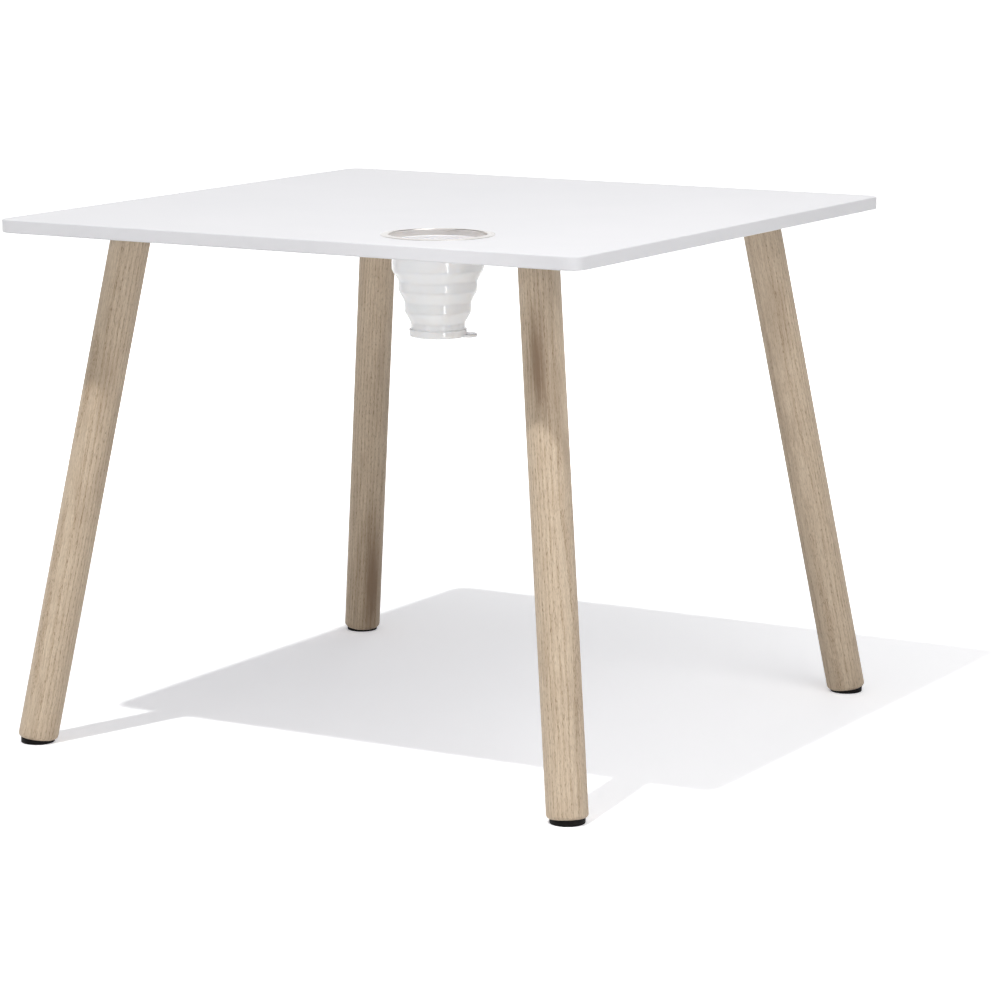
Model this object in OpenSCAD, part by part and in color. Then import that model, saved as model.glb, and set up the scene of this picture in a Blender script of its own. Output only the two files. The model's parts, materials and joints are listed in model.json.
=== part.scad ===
// Low square table for a child: white board, four splayed oak legs and a folding drinking cup
// that hangs by a steel rim in a hole near the front edge.
// The origin is on the floor under the middle of the board. +Z is up, the cup is at the front (-Y).

/* [Tabletop] */
// Length of the front edge
top_w = 600; // [540:10:760]
// Length of the side edge
top_d = 600; // [540:10:760]
// Thickness of the board
top_t = 12; // [11:1:22]
// Height of the top face above the floor
top_h = 485; // [420:5:560]
// Radius of the board's corners in plan
top_corner_r = 15; // [8:1:60]
// Radius worked on the upper and lower edges
top_edge_r = 1.2; // [0.6:0.2:3]

/* [Legs] */
// Diameter of a leg
leg_d = 36.5; // [33:0.5:40]
// Distance of a leg's axis from the board's edges, where it meets the underside
leg_inset = 88; // [80:1:120]
// Lean of a leg, seen from the front and again from the side
leg_splay = 8.3; // [6:0.1:11]
// Radius worked on a leg's lower rim
leg_rim_r = 3.6; // [2:0.2:5]
// Chamfer round the top of a leg
leg_top_chamfer = 0.8; // [0.4:0.2:2]

/* [Feet] */
// Diameter of a glide
glide_d = 31; // [26:1:32]
// Thickness of a glide on the side that faces the middle of the table
glide_min_t = 1.8; // [1.6:0.2:4]
// Angle between the lower end of a leg and the floor
foot_angle = 7.5; // [5:0.5:9]
// Radius on the lower rim of a glide
glide_edge_r = 0.8; // [0.4:0.1:1.2]

/* [Leg bracket] */
// Diameter of the bracket's flange
bracket_d = 76; // [70:1:86]
// Sheet that the bracket is pressed from
bracket_t = 2.5; // [2:0.1:3]
// Wall of the pressed boss, beyond the leg
boss_margin = 1.2; // [1:0.1:2]
// Screws in one bracket
bracket_screw_n = 4; // [3:1:5]
// Distance of the screws' circle from the flange's rim
bracket_screw_edge = 8; // [6:0.5:9]
// Width of the weld nut across its flats
nut_af = 13; // [12:0.5:14]
// Height of the weld nut
nut_h = 6.5; // [4:0.5:7]

/* [Fasteners] */
// Diameter of the hanger bolt
bolt_d = 8; // [6:1:8]
// Depth of the hanger bolt in the leg
bolt_depth = 45; // [30:1:60]
// Diameter of the board screws
screw_d = 3.9; // [3:0.1:4.5]
// Head diameter of the board screws
screw_head_d = 7.8; // [7:0.1:8.5]
// Length of the board screws
screw_l = 12; // [8:1:12]
// Diameter of the glide's screw
glide_screw_d = 3.5; // [3:0.1:4]
// Head diameter of the glide's screw
glide_head_d = 7; // [6:0.1:7.5]
// Length of the glide's screw
glide_screw_l = 25; // [16:1:35]

/* [Cup place] */
// Distance from the right-hand edge to the cup's axis
cup_side_inset = 189; // [185:1:230]
// Distance from the front edge to the cup's axis
cup_front_inset = 90; // [70:1:140]

/* [Steel rim] */
// Outer diameter of the rim's flange
rim_d = 99.5; // [96:0.5:110]
// Inner diameter of the rim's throat
mouth_d = 86; // [80:0.5:88]
// Sheet that the rim is spun from
rim_sheet = 0.8; // [0.6:0.1:1]
// Height of the flange's outer edge over the board
rim_edge_h = 0.5; // [0.4:0.1:1]
// Rise of the flange from its outer edge to its crown
rim_rise = 0.5; // [0.4:0.1:1.4]
// Depth of the throat below the board's top face
throat_h = 9; // [7:0.5:10]

/* [Silicone cup] */
// Depth of the collar's upper lip below the board's top face
collar_lip_z = 5; // [3:0.5:6]
// Collar wall inside the steel throat
collar_in_t = 1.5; // [1:0.1:2]
// Collar wall outside the steel throat
collar_out_t = 0.6; // [0.4:0.1:0.9]
// Depth of the collar's shoulder below the board's top face
shoulder_z = 12; // [11.5:0.5:14]
// Height of the shoulder's slope
shoulder_h = 2.5; // [2:0.1:4]
// Step from the throat to the upper band
upper_step = 2.9; // [2.4:0.1:4]
// Height of the upper band under its shoulder
upper_band_h = 14.5; // [8:0.5:20]
// Radial step from one band to the next
tier_step = 5.4; // [5:0.1:6]
// Height of the two middle bands
band_h = 7.3; // [6:0.1:10]
// Wall of a band
band_t = 2.2; // [1.6:0.1:2.4]
// Height of a folding web
web_h = 11; // [9:0.5:14]
// Wall of a folding web
web_t = 1.2; // [0.8:0.1:1.4]

/* [Cup base] */
// Height of the lowest band above the foot
low_band_h = 5; // [4:0.2:8]
// Height of the foot
foot_h = 6.9; // [5.5:0.1:9]
// Ledge of the foot round the lowest band
foot_ledge = 1.5; // [1:0.1:1.6]
// Radius worked on the lower rim of the foot
foot_rim_r = 2.4; // [1:0.1:2.6]
// Thickness of the cup's floor
floor_t = 2.5; // [2:0.1:3.5]
// Thickness of the pull tab
tab_t = 2.5; // [2:0.1:3]
// Width of the pull tab
tab_w = 24; // [16:1:28]
// Length of the pull tab beyond the lowest band
tab_l = 10.2; // [8:0.2:11]
// Radius of the pull tab's corners
tab_corner_r = 8; // [4:0.5:8]
// Direction of the pull tab, turned from the front edge towards the back
tab_angle = 30; // [0:5:350]

/* [Clearances] */
// Gap round a bolt or screw in its hole
screw_fit = 0.05; // [0.03:0.01:0.1]
// Gap between the silicone collar and the steel in it
collar_fit = 0.05; // [0.03:0.01:0.1]
// Gap between the cup's collar and the hole in the board
hole_fit = 0.6; // [0.4:0.1:1.5]
// Free height over the end of the hanger bolt
pocket_air = 0.8; // [0.5:0.1:2]
// Height of the glide's screw head above the floor side of the glide
head_recess = 1.2; // [1:0.1:1.4]

/* [Hidden] */
$fn = 128;

// Side of each leg: -1 is left or front, 1 is right or back
FRONT_LEFT = [-1, -1];
FRONT_RIGHT = [1, -1];
BACK_RIGHT = [1, 1];
BACK_LEFT = [-1, 1];

// Length that reaches past every cut
past = 1;
// Size of a half space that trims a leg's bracket or its glide
half_space = 200;
// Steps along the profile of a folding web
web_steps = 10;

// Board and legs
under_z = top_h - top_t;
leg_r = leg_d / 2;
leg_x = top_w / 2 - leg_inset;
leg_y = top_d / 2 - leg_inset;
leg_tilt = atan(sqrt(2) * tan(leg_splay));
boss_r = leg_r + boss_margin;
// Height of the pressed boss where it is lowest
boss_low_h = 0.3;
// Length along the leg's axis from the board's underside to the leg's top end
seat_gap = (bracket_t + boss_low_h + boss_r * tan(leg_tilt)) / cos(leg_tilt);
boss_x = seat_gap * sin(leg_tilt);
bracket_screw_circle = bracket_d / 2 - bracket_screw_edge;
bracket_screw_turn = 180 / bracket_screw_n;

// Feet
glide_r = glide_d / 2;
foot_z = glide_min_t + glide_r * tan(foot_angle);
leg_drop = under_z - foot_z;
foot_x = leg_drop * tan(leg_tilt);
leg_l = leg_drop / cos(leg_tilt);
// Height of the profile that trims the lower end of a leg
end_profile_h = leg_l + leg_d;
// Width that the profile leaves round the leg's oval lower end
end_profile_gap = 0.3;
glide_head_s = head_recess - foot_z / cos(leg_tilt);

// Hanger bolt and its nut, along the leg's axis
bolt_point = bolt_d / 2;
bolt_tip = 1;
bolt_top_s = bracket_t + nut_h + bolt_tip - seat_gap;
pocket_depth = bolt_top_s * cos(leg_tilt) + bolt_d / 2 * sin(leg_tilt) + pocket_air;
pocket_r = nut_af / 2 / cos(30) + nut_h * sin(leg_tilt) + pocket_air;

// Cup
mouth_r = mouth_d / 2;
rim_r = rim_d / 2;
throat_r = mouth_r + rim_sheet;
collar_in_r = mouth_r - collar_fit - collar_in_t;
collar_out_r = throat_r + collar_fit + collar_out_t;
hole_r = collar_out_r + hole_fit;
// Least width of board between the cup's hole and a leg's bracket
hole_land = 4;
cup_x = top_w / 2 - max(cup_side_inset, leg_inset + bracket_d / 2 + hole_r + hole_land);
cup_y = cup_front_inset - top_d / 2;

// Radius of band 0, the upper band, to band 3, the one over the foot
function band_r(i) = mouth_r - upper_step - i * tier_step;

// Depths below the board's top face
shoulder_end = shoulder_z + shoulder_h;
upper_band_end = shoulder_end + upper_band_h;
web_1_end = upper_band_end + web_h;
band_1_end = web_1_end + band_h;
web_2_end = band_1_end + web_h;
band_2_end = web_2_end + band_h;
web_3_end = band_2_end + web_h;
band_3_end = web_3_end + low_band_h;
cup_end = band_3_end + foot_h;
foot_r = band_r(3) + foot_ledge;
foot_top_r = 0.6;
base_recess = 0.8;

// Fraction of a web's radial step at fraction t of its height
function web_share(t) = (t + t * t * (3 - 2 * t)) / 2;

// Board with rounded corners and edges, its lower face at z = 0
module rounded_board(w, d, t, corner_r, edge_r) {
    core_w = w - 2 * corner_r;
    core_d = d - 2 * corner_r;
    translate([-core_w / 2, -core_d / 2, 0])
        cube([core_w, core_d, t]);
    for (turn = [0, 180]) {
        rotate([0, 0, turn])
            translate([core_w / 2, core_d / 2, 0])
                rotate([90, 0, 0])
                    linear_extrude(core_d)
                        board_edge(t, corner_r, edge_r);
        rotate([0, 0, turn + 90])
            translate([core_d / 2, core_w / 2, 0])
                rotate([90, 0, 0])
                    linear_extrude(core_w)
                        board_edge(t, corner_r, edge_r);
    }
    for (sx = [-1, 1], sy = [-1, 1])
        translate([sx * core_w / 2, sy * core_d / 2, 0])
            rotate([0, 0, sx > 0 ? (sy > 0 ? 0 : 270) : (sy > 0 ? 90 : 180)])
                rotate_extrude(angle = 90)
                    board_edge(t, corner_r, edge_r);
}

// Section from the board's core out to its edge
module board_edge(t, w, edge_r) {
    square([w - edge_r, t]);
    translate([0, edge_r])
        square([w, t - 2 * edge_r]);
    for (z = [edge_r, t - edge_r])
        translate([w - edge_r, z])
            circle(edge_r);
}

// Frame of one leg: origin where its axis meets the board's underside, +X outwards
module at_leg(side) {
    translate([side[0] * leg_x, side[1] * leg_y, under_z])
        rotate([0, 0, atan2(side[1], side[0])])
            children();
}

// Turns +Z to point up along the leg's axis
module along_leg() {
    rotate([0, -leg_tilt, 0])
        children();
}

// Frame on the lower end of the leg: origin on the axis, +Z square to that end
module at_leg_end() {
    translate([foot_x, 0, -leg_drop])
        rotate([0, -foot_angle, 0])
            children();
}

// Places of the screws in one bracket
module at_bracket_screws() {
    for (i = [0 : bracket_screw_n - 1])
        rotate([0, 0, bracket_screw_turn + i * 360 / bracket_screw_n])
            translate([bracket_screw_circle, 0, 0])
                children();
}

// Half space over the leg's top end, moved up the axis by lift
module above_seat(lift) {
    along_leg()
        translate([-half_space / 2, -half_space / 2, lift - seat_gap])
            cube(half_space);
}

// Countersunk screw with its head at z = 0 and its shank upwards
module countersunk(d, head_d, l, grow = 0) {
    head_h = (head_d - d) / 2;
    cylinder(h = head_h, r1 = head_d / 2 + grow, r2 = d / 2 + grow);
    cylinder(h = l + grow, r = d / 2 + grow);
}

module table_top() {
    color("#eeeef0")
        difference() {
            translate([0, 0, under_z])
                rounded_board(top_w, top_d, top_t, top_corner_r, top_edge_r);
            translate([cup_x, cup_y, under_z - past])
                cylinder(h = top_t + 2 * past, r = hole_r);
            for (side = [FRONT_LEFT, FRONT_RIGHT, BACK_RIGHT, BACK_LEFT])
                at_leg(side) {
                    translate([0, 0, -past])
                        cylinder(h = pocket_depth + past, r = pocket_r);
                    at_bracket_screws()
                        translate([0, 0, -bracket_t])
                            cylinder(h = screw_l + screw_fit, r = screw_d / 2 + screw_fit);
                }
        }
}

// Section of the profile that shapes a leg's lower end, opening upwards past the leg
module leg_end_section() {
    end_r = leg_r + end_profile_gap;
    square([end_r - leg_rim_r, leg_rim_r * 2]);
    translate([end_r - leg_rim_r, leg_rim_r])
        circle(leg_rim_r);
    polygon([
        [0, leg_rim_r],
        [end_r, leg_rim_r],
        [end_r + end_profile_h / 2, end_profile_h],
        [0, end_profile_h]
    ]);
}

// Turned rod along its axis, from the chamfered top end down past the foot
module leg_rod() {
    rotate_extrude()
        polygon([
            [0, -seat_gap],
            [leg_r - leg_top_chamfer, -seat_gap],
            [leg_r, -seat_gap - leg_top_chamfer],
            [leg_r, -leg_l - leg_d],
            [0, -leg_l - leg_d]
        ]);
}

module leg(side) {
    color("#c3b296")
        at_leg(side)
            difference() {
                intersection() {
                    along_leg()
                        leg_rod();
                    at_leg_end()
                        rotate_extrude()
                            leg_end_section();
                }
                along_leg() {
                    translate([0, 0, -seat_gap - bolt_depth - bolt_tip])
                        cylinder(h = bolt_depth + bolt_tip + past, r = bolt_d / 2 + screw_fit);
                    translate([0, 0, glide_head_s - leg_l])
                        cylinder(h = glide_screw_l + bolt_tip, r = glide_screw_d / 2 + screw_fit);
                }
            }
}

// Flange, boss pressed to the leg's angle, and a nut welded over its hole
module leg_bracket(side) {
    color("#8d9094")
        at_leg(side)
            difference() {
                union() {
                    translate([0, 0, -bracket_t])
                        cylinder(h = bracket_t, r = bracket_d / 2);
                    intersection() {
                        translate([boss_x, 0, -half_space])
                            cylinder(h = half_space, r = boss_r);
                        above_seat(0);
                    }
                    along_leg()
                        translate([0, 0, bracket_t - seat_gap])
                            cylinder(h = nut_h, r = nut_af / 2 / cos(30), $fn = 6);
                }
                difference() {
                    intersection() {
                        translate([boss_x, 0, -half_space])
                            cylinder(h = half_space + past, r = boss_r - bracket_t);
                        above_seat(bracket_t);
                    }
                    along_leg()
                        translate([0, 0, -seat_gap])
                            cylinder(h = bracket_t + nut_h, r = nut_af / 2 / cos(30), $fn = 6);
                }
                along_leg()
                    translate([0, 0, -seat_gap - past])
                        cylinder(h = half_space, r = bolt_d / 2 + screw_fit);
                at_bracket_screws()
                    translate([0, 0, -bracket_t - screw_fit])
                        countersunk(screw_d, screw_head_d, screw_l, screw_fit);
            }
}

module bracket_screws(side) {
    color("#b9bcc0")
        at_leg(side)
            at_bracket_screws()
                translate([0, 0, -bracket_t])
                    countersunk(screw_d, screw_head_d, screw_l);
}

module hanger_bolt(side) {
    bolt_l = bolt_depth + seat_gap + bolt_top_s;
    color("#b9bcc0")
        at_leg(side)
            along_leg()
                translate([0, 0, -seat_gap - bolt_depth]) {
                    cylinder(h = bolt_point, r1 = bolt_d / 8, r2 = bolt_d / 2);
                    translate([0, 0, bolt_point])
                        cylinder(h = bolt_l - bolt_point, r = bolt_d / 2);
                }
}

// Wedge between the leg's end and the floor, thickest on the outer side
module glide(side) {
    color("#1c1a19")
        at_leg(side)
            difference() {
                translate([foot_x, 0, -under_z])
                    rotate_extrude()
                        glide_section();
                at_leg_end()
                    translate([-half_space / 2, -half_space / 2, 0])
                        cube(half_space);
                along_leg()
                    translate([0, 0, glide_head_s - leg_l]) {
                        countersunk(glide_screw_d, glide_head_d, glide_screw_l, screw_fit);
                        translate([0, 0, -foot_z])
                            cylinder(h = foot_z, r = glide_head_d / 2 + screw_fit);
                    }
            }
}

module glide_section() {
    square([glide_r - glide_edge_r, 2 * foot_z]);
    translate([0, glide_edge_r])
        square([glide_r, 2 * foot_z]);
    translate([glide_r - glide_edge_r, glide_edge_r])
        circle(glide_edge_r);
}

module glide_screw(side) {
    color("#b9bcc0")
        at_leg(side)
            along_leg()
                translate([0, 0, glide_head_s - leg_l])
                    countersunk(glide_screw_d, glide_head_d, glide_screw_l);
}

// Frame of the cup: origin on its axis at the board's top face
module at_cup() {
    translate([cup_x, cup_y, top_h])
        children();
}

// Ring from radius r_in to r_out between two depths
module cup_ring(r_in, r_out, from_z, to_z) {
    rotate_extrude()
        translate([r_in, -to_z])
            square([r_out - r_in, to_z - from_z]);
}

// Section of the spun rim: straight throat, rounded lip and a flange that falls to a rounded edge
module rim_section() {
    rim_crown = rim_edge_h + rim_rise;
    edge_r = rim_edge_h / 2;
    lip_r = rim_crown;
    crown_w = rim_r - edge_r - mouth_r - lip_r;
    crown_r = (crown_w * crown_w + rim_rise * rim_rise) / (2 * rim_rise);
    translate([mouth_r, -throat_h])
        square([rim_sheet, throat_h]);
    intersection() {
        translate([mouth_r + lip_r, 0])
            circle(lip_r);
        translate([mouth_r, 0])
            square(lip_r);
    }
    intersection() {
        translate([mouth_r + lip_r, rim_crown - crown_r])
            circle(crown_r);
        translate([mouth_r + lip_r, 0])
            square([crown_w, rim_crown]);
    }
    translate([rim_r - edge_r, edge_r])
        circle(edge_r);
}

module cup_rim() {
    color("#c9cacc")
        at_cup()
            rotate_extrude()
                rim_section();
}

// Silicone that grips the steel throat, with the upper band below it
module cup_collar() {
    slot_end = throat_h + collar_fit;
    upper_r = band_r(0);
    color("#dcdadc")
        at_cup()
            rotate_extrude()
                difference() {
                    polygon([
                        [collar_in_r, -collar_lip_z],
                        [collar_out_r, -collar_lip_z],
                        [collar_out_r, -shoulder_z],
                        [upper_r, -shoulder_end],
                        [upper_r, -upper_band_end],
                        [upper_r - band_t, -upper_band_end],
                        [upper_r - band_t, -shoulder_end],
                        [collar_in_r, shoulder_h - shoulder_z]
                    ]);
                    translate([mouth_r - collar_fit, -slot_end])
                        square([rim_sheet + 2 * collar_fit, slot_end]);
                }
}

// Thin wall that joins band i to the next one and turns over when the cup folds
module cup_web(i, from_z, to_z) {
    outer = [for (k = [0 : web_steps])
        [band_r(i) - tier_step * web_share(k / web_steps), -from_z - (to_z - from_z) * k / web_steps]];
    inner = [for (k = [web_steps : -1 : 0])
        [outer[k][0] - web_t, outer[k][1]]];
    color("#e4e2e4")
        at_cup()
            rotate_extrude()
                polygon(concat(outer, inner));
}

module cup_band(i, from_z, to_z) {
    color("#d3d1d3")
        at_cup()
            cup_ring(band_r(i) - band_t, band_r(i), from_z, to_z);
}

// Half section of the lowest band with the cup's floor and its foot
module base_section() {
    low_r = band_r(3);
    difference() {
        union() {
            translate([0, -band_3_end - foot_top_r])
                square([low_r, low_band_h + foot_top_r]);
            translate([0, -band_3_end - foot_top_r])
                square([foot_r - foot_top_r, foot_top_r]);
            translate([foot_r - foot_top_r, -band_3_end - foot_top_r])
                circle(foot_top_r);
            translate([0, -cup_end + foot_rim_r])
                square([foot_r, foot_h - foot_rim_r - foot_top_r]);
            translate([foot_r - foot_rim_r, -cup_end + foot_rim_r])
                circle(foot_rim_r);
            translate([0, -cup_end])
                square([foot_r - foot_rim_r, foot_rim_r]);
        }
        translate([-past, -cup_end + floor_t])
            square([low_r - band_t + past, cup_end]);
        translate([-past, -cup_end - past])
            square([low_r - band_t + past, base_recess + past]);
    }
}

// Lowest band, floor and foot with the pull tab
module cup_base() {
    color("#dcdadc")
        at_cup() {
            rotate_extrude()
                intersection() {
                    base_section();
                    translate([0, -cup_end])
                        square([foot_r, cup_end]);
                }
            difference() {
                rotate([0, 0, tab_angle])
                    translate([0, 0, -cup_end])
                        linear_extrude(tab_t)
                            tab_outline(band_r(3) + tab_l, tab_w, tab_corner_r);
                translate([0, 0, -cup_end - past])
                    cylinder(h = tab_t + 2 * past, r = foot_r - foot_rim_r);
            }
        }
}

// Tongue from the axis to reach, w wide, with rounded outer corners
module tab_outline(reach, w, corner_r) {
    translate([0, -w / 2])
        square([reach - corner_r, w]);
    translate([0, corner_r - w / 2])
        square([reach, w - 2 * corner_r]);
    for (y = [corner_r - w / 2, w / 2 - corner_r])
        translate([reach - corner_r, y])
            circle(corner_r);
}

table_top();

leg(FRONT_LEFT);  // leg_front_left
leg(FRONT_RIGHT);  // leg_front_right
leg(BACK_RIGHT);  // leg_back_right
leg(BACK_LEFT);  // leg_back_left

leg_bracket(FRONT_LEFT);  // leg_bracket_front_left
leg_bracket(FRONT_RIGHT);  // leg_bracket_front_right
leg_bracket(BACK_RIGHT);  // leg_bracket_back_right
leg_bracket(BACK_LEFT);  // leg_bracket_back_left

bracket_screws(FRONT_LEFT);  // bracket_screws_front_left
bracket_screws(FRONT_RIGHT);  // bracket_screws_front_right
bracket_screws(BACK_RIGHT);  // bracket_screws_back_right
bracket_screws(BACK_LEFT);  // bracket_screws_back_left

hanger_bolt(FRONT_LEFT);  // hanger_bolt_front_left
hanger_bolt(FRONT_RIGHT);  // hanger_bolt_front_right
hanger_bolt(BACK_RIGHT);  // hanger_bolt_back_right
hanger_bolt(BACK_LEFT);  // hanger_bolt_back_left

glide(FRONT_LEFT);  // glide_front_left
glide(FRONT_RIGHT);  // glide_front_right
glide(BACK_RIGHT);  // glide_back_right
glide(BACK_LEFT);  // glide_back_left

glide_screw(FRONT_LEFT);  // glide_screw_front_left
glide_screw(FRONT_RIGHT);  // glide_screw_front_right
glide_screw(BACK_RIGHT);  // glide_screw_back_right
glide_screw(BACK_LEFT);  // glide_screw_back_left

cup_rim();
cup_collar();
cup_web(0, upper_band_end, web_1_end);  // cup_web_upper
cup_band(1, web_1_end, band_1_end);  // cup_band_upper
cup_web(1, band_1_end, web_2_end);  // cup_web_middle
cup_band(2, web_2_end, band_2_end);  // cup_band_lower
cup_web(2, band_2_end, web_3_end);  // cup_web_lower
cup_base();
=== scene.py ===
"""Looks of a low square table for a child.

A white lacquered board stands on four splayed legs of turned oak. A folding silicone cup hangs by a
spun steel rim in a hole near the front edge. Lengths are written in millimetres and turned to metres
by MM. The origin is on the floor under the middle of the board, +Z is up, and the cup is at the
front, towards -Y.
"""

import json
import logging
import math
from abc import ABC, abstractmethod
from collections.abc import Mapping, Sequence
from dataclasses import dataclass, field
from enum import Enum
from functools import cache
from typing import Any

import bmesh
import bpy
from mathutils import Euler, Matrix, Vector

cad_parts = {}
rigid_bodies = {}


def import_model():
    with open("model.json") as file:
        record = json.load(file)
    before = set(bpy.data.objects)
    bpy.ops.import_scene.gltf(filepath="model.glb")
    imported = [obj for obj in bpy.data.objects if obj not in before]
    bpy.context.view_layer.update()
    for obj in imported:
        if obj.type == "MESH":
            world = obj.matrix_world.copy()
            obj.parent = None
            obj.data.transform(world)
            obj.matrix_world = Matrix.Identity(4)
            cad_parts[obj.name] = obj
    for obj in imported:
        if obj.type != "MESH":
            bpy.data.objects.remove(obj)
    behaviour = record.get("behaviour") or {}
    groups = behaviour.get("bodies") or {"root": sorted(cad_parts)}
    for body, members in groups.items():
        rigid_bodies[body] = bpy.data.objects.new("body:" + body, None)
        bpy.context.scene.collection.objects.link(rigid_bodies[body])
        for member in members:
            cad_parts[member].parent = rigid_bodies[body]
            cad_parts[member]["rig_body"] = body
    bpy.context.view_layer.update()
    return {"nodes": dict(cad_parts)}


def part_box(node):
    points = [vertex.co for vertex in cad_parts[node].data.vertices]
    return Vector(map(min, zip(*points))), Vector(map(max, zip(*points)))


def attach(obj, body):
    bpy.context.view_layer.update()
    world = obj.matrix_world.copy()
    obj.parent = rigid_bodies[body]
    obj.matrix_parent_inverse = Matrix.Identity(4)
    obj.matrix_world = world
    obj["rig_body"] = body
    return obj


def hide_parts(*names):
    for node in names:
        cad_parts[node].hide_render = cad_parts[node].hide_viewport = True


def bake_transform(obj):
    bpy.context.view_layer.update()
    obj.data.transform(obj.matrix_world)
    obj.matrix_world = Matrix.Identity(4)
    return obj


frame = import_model()

MM = 0.001
LOG = logging.getLogger("childrens_table")

# Attribute that holds a place in the rod that a leg was turned from
TIMBER = "timber"
# Points closer than this are one point
MERGE_DISTANCE = 0.001 * MM
# Faces that meet at more than this angle keep a sharp edge
SHARP_ANGLE = math.radians(38)
# Start of a recess outside the head, so that the cut opens cleanly
BLADE_START = 0.05 * MM
# Radius of a recess at its bottom and thickness of its blades, as shares of its width
BLADE_TIP = 0.16
BLADE_THICKNESS = 0.24
# Seed for how far each screw was turned when it came tight
SCREW_SEED = 7
# Facets in a full turn of a screw and of a leg
SCREW_STEPS = 40
LEG_STEPS = 96
# Setting of a Map Range node that eases both ends of its range
SMOOTH = {"interpolation_type": "SMOOTHSTEP"}
# Heights on each side of a point that the cup's wall is softened over
SOFT_TAPS = 4
# How far apart in the timber the rods of two legs lie
TIMBER_STEP = Vector((0.013, 0.031, 0.9))

Tree = bpy.types.NodeTree
Node = bpy.types.Node
Outputs = bpy.types.NodeOutputs
Piece = bpy.types.Object
# Radius and height of a point in a half section
Point = tuple[float, float]
# The two ends of a range
Range = tuple[float, float]
Triple = tuple[float, float, float]


def linear(colour: str) -> tuple[float, ...]:
    """Turns an sRGB hex colour such as "#EBEBEC" to the linear values that shaders take, with alpha 1."""
    parts = [int(colour[i : i + 2], 16) / 255 for i in (1, 3, 5)]
    return (*(p / 12.92 if p <= 0.04045 else ((p + 0.055) / 1.055) ** 2.4 for p in parts), 1.0)


def add_node(tree: Tree, kind: str, inputs: Mapping[str | int, Any] | None = None, **settings: Any) -> Node:
    """Adds one node to a shader or geometry tree.

    Args:
        tree: The tree that gets the node.
        kind: The node's class name.
        inputs: Socket name or number to what it gets.
        settings: The node's own properties.

    Returns:
        The new node.
    """
    node = tree.nodes.new(kind)
    for name, value in settings.items():
        setattr(node, name, value)
    plug(tree, node, inputs or {})
    return node


def plug(tree: Tree, node: Node, inputs: Mapping[str | int, Any]) -> None:
    """Sets or links a node's inputs.

    Args:
        tree: The node's tree.
        node: The node.
        inputs: Socket name or number to a value, to an output socket, or to a node, which is linked
            by its first output in use.
    """
    for key, value in inputs.items():
        if isinstance(value, Node):
            value = next(socket for socket in value.outputs if socket.enabled)
        if isinstance(value, bpy.types.NodeSocket):
            tree.links.new(value, node.inputs[key])
        else:
            node.inputs[key].default_value = value


def span(side: str, ends: Range) -> dict[str, Any]:
    """Names the ends of a range as a Map Range node does: From or To, then Min and Max."""
    return {f"{side} Min": ends[0], f"{side} Max": ends[1]}


# Finishes


@dataclass(frozen=True)
class Finish(ABC):
    """A real material and the way its surface was made."""

    name: str
    colour: str
    roughness: float
    ior: float = 1.5
    metallic: float = 0.0

    def material(self) -> bpy.types.Material:
        """Gives the finish's material, and builds it the first time.

        Returns:
            The material, named for the finish.
        """
        found = bpy.data.materials.get(self.name)
        if found:
            return found
        made = bpy.data.materials.new(self.name)
        made.use_nodes = True
        tree = made.node_tree
        tree.nodes.clear()
        even = {"Roughness": self.roughness, "IOR": self.ior, "Metallic": self.metallic}
        shader = add_node(tree, "ShaderNodeBsdfPrincipled", {"Base Color": linear(self.colour)} | even)
        plug(tree, shader, self.pattern(tree))
        add_node(tree, "ShaderNodeOutputMaterial", {"Surface": self.surface(tree, shader)})
        return made

    @abstractmethod
    def pattern(self, tree: Tree) -> dict[str, Any]:
        """Adds the surface's own pattern.

        Args:
            tree: The material's tree.

        Returns:
            What the pattern gives the inputs of the Principled shader.
        """

    def surface(self, tree: Tree, shader: Node) -> Node:
        """Gives the node that the material shows: the shader, unless a finish has more."""
        return shader


@dataclass(frozen=True)
class CloudyFinish(Finish):
    """A finish whose colour drifts in soft clouds, and the gloss too where it swings, over a fine grain."""

    cloud_colour: str = "#FFFFFF"
    cloud: float = 20 * MM
    cloud_detail: int = 2
    cloud_ends: Range = (0.0, 1.0)
    grain: float = 1 * MM
    grain_detail: int = 2
    grain_depth: float = 0.01 * MM
    grain_strength: float = 0.5
    gloss_ends: Range = (0.0, 1.0)
    gloss_swing: Range | None = None

    def pattern(self, tree: Tree) -> dict[str, Any]:
        """Adds the clouds and the grain.

        Args:
            tree: The material's tree.

        Returns:
            The colour, the relief and the roughness if it swings.
        """
        place = add_node(tree, "ShaderNodeTexCoord").outputs["Object"]
        noise = {"Vector": place, "Scale": 1 / self.cloud, "Detail": self.cloud_detail}
        clouds = add_node(tree, "ShaderNodeTexNoise", noise)
        share = add_node(tree, "ShaderNodeMapRange", {"Value": clouds} | span("From", self.cloud_ends))
        tones = {"Factor": share, "A": linear(self.colour), "B": linear(self.cloud_colour)}
        noise = {"Vector": place, "Scale": 1 / self.grain, "Detail": self.grain_detail}
        grain = add_node(tree, "ShaderNodeTexNoise", noise)
        relief = {"Height": grain, "Strength": self.grain_strength, "Distance": self.grain_depth}
        given = {
            "Base Color": add_node(tree, "ShaderNodeMix", tones, data_type="RGBA"),
            "Normal": add_node(tree, "ShaderNodeBump", relief),
        }
        if self.gloss_swing:
            rough = span("To", (self.roughness + self.gloss_swing[0], self.roughness + self.gloss_swing[1]))
            rough |= {"Value": clouds} | span("From", self.gloss_ends)
            given["Roughness"] = add_node(tree, "ShaderNodeMapRange", rough)
        return given


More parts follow.
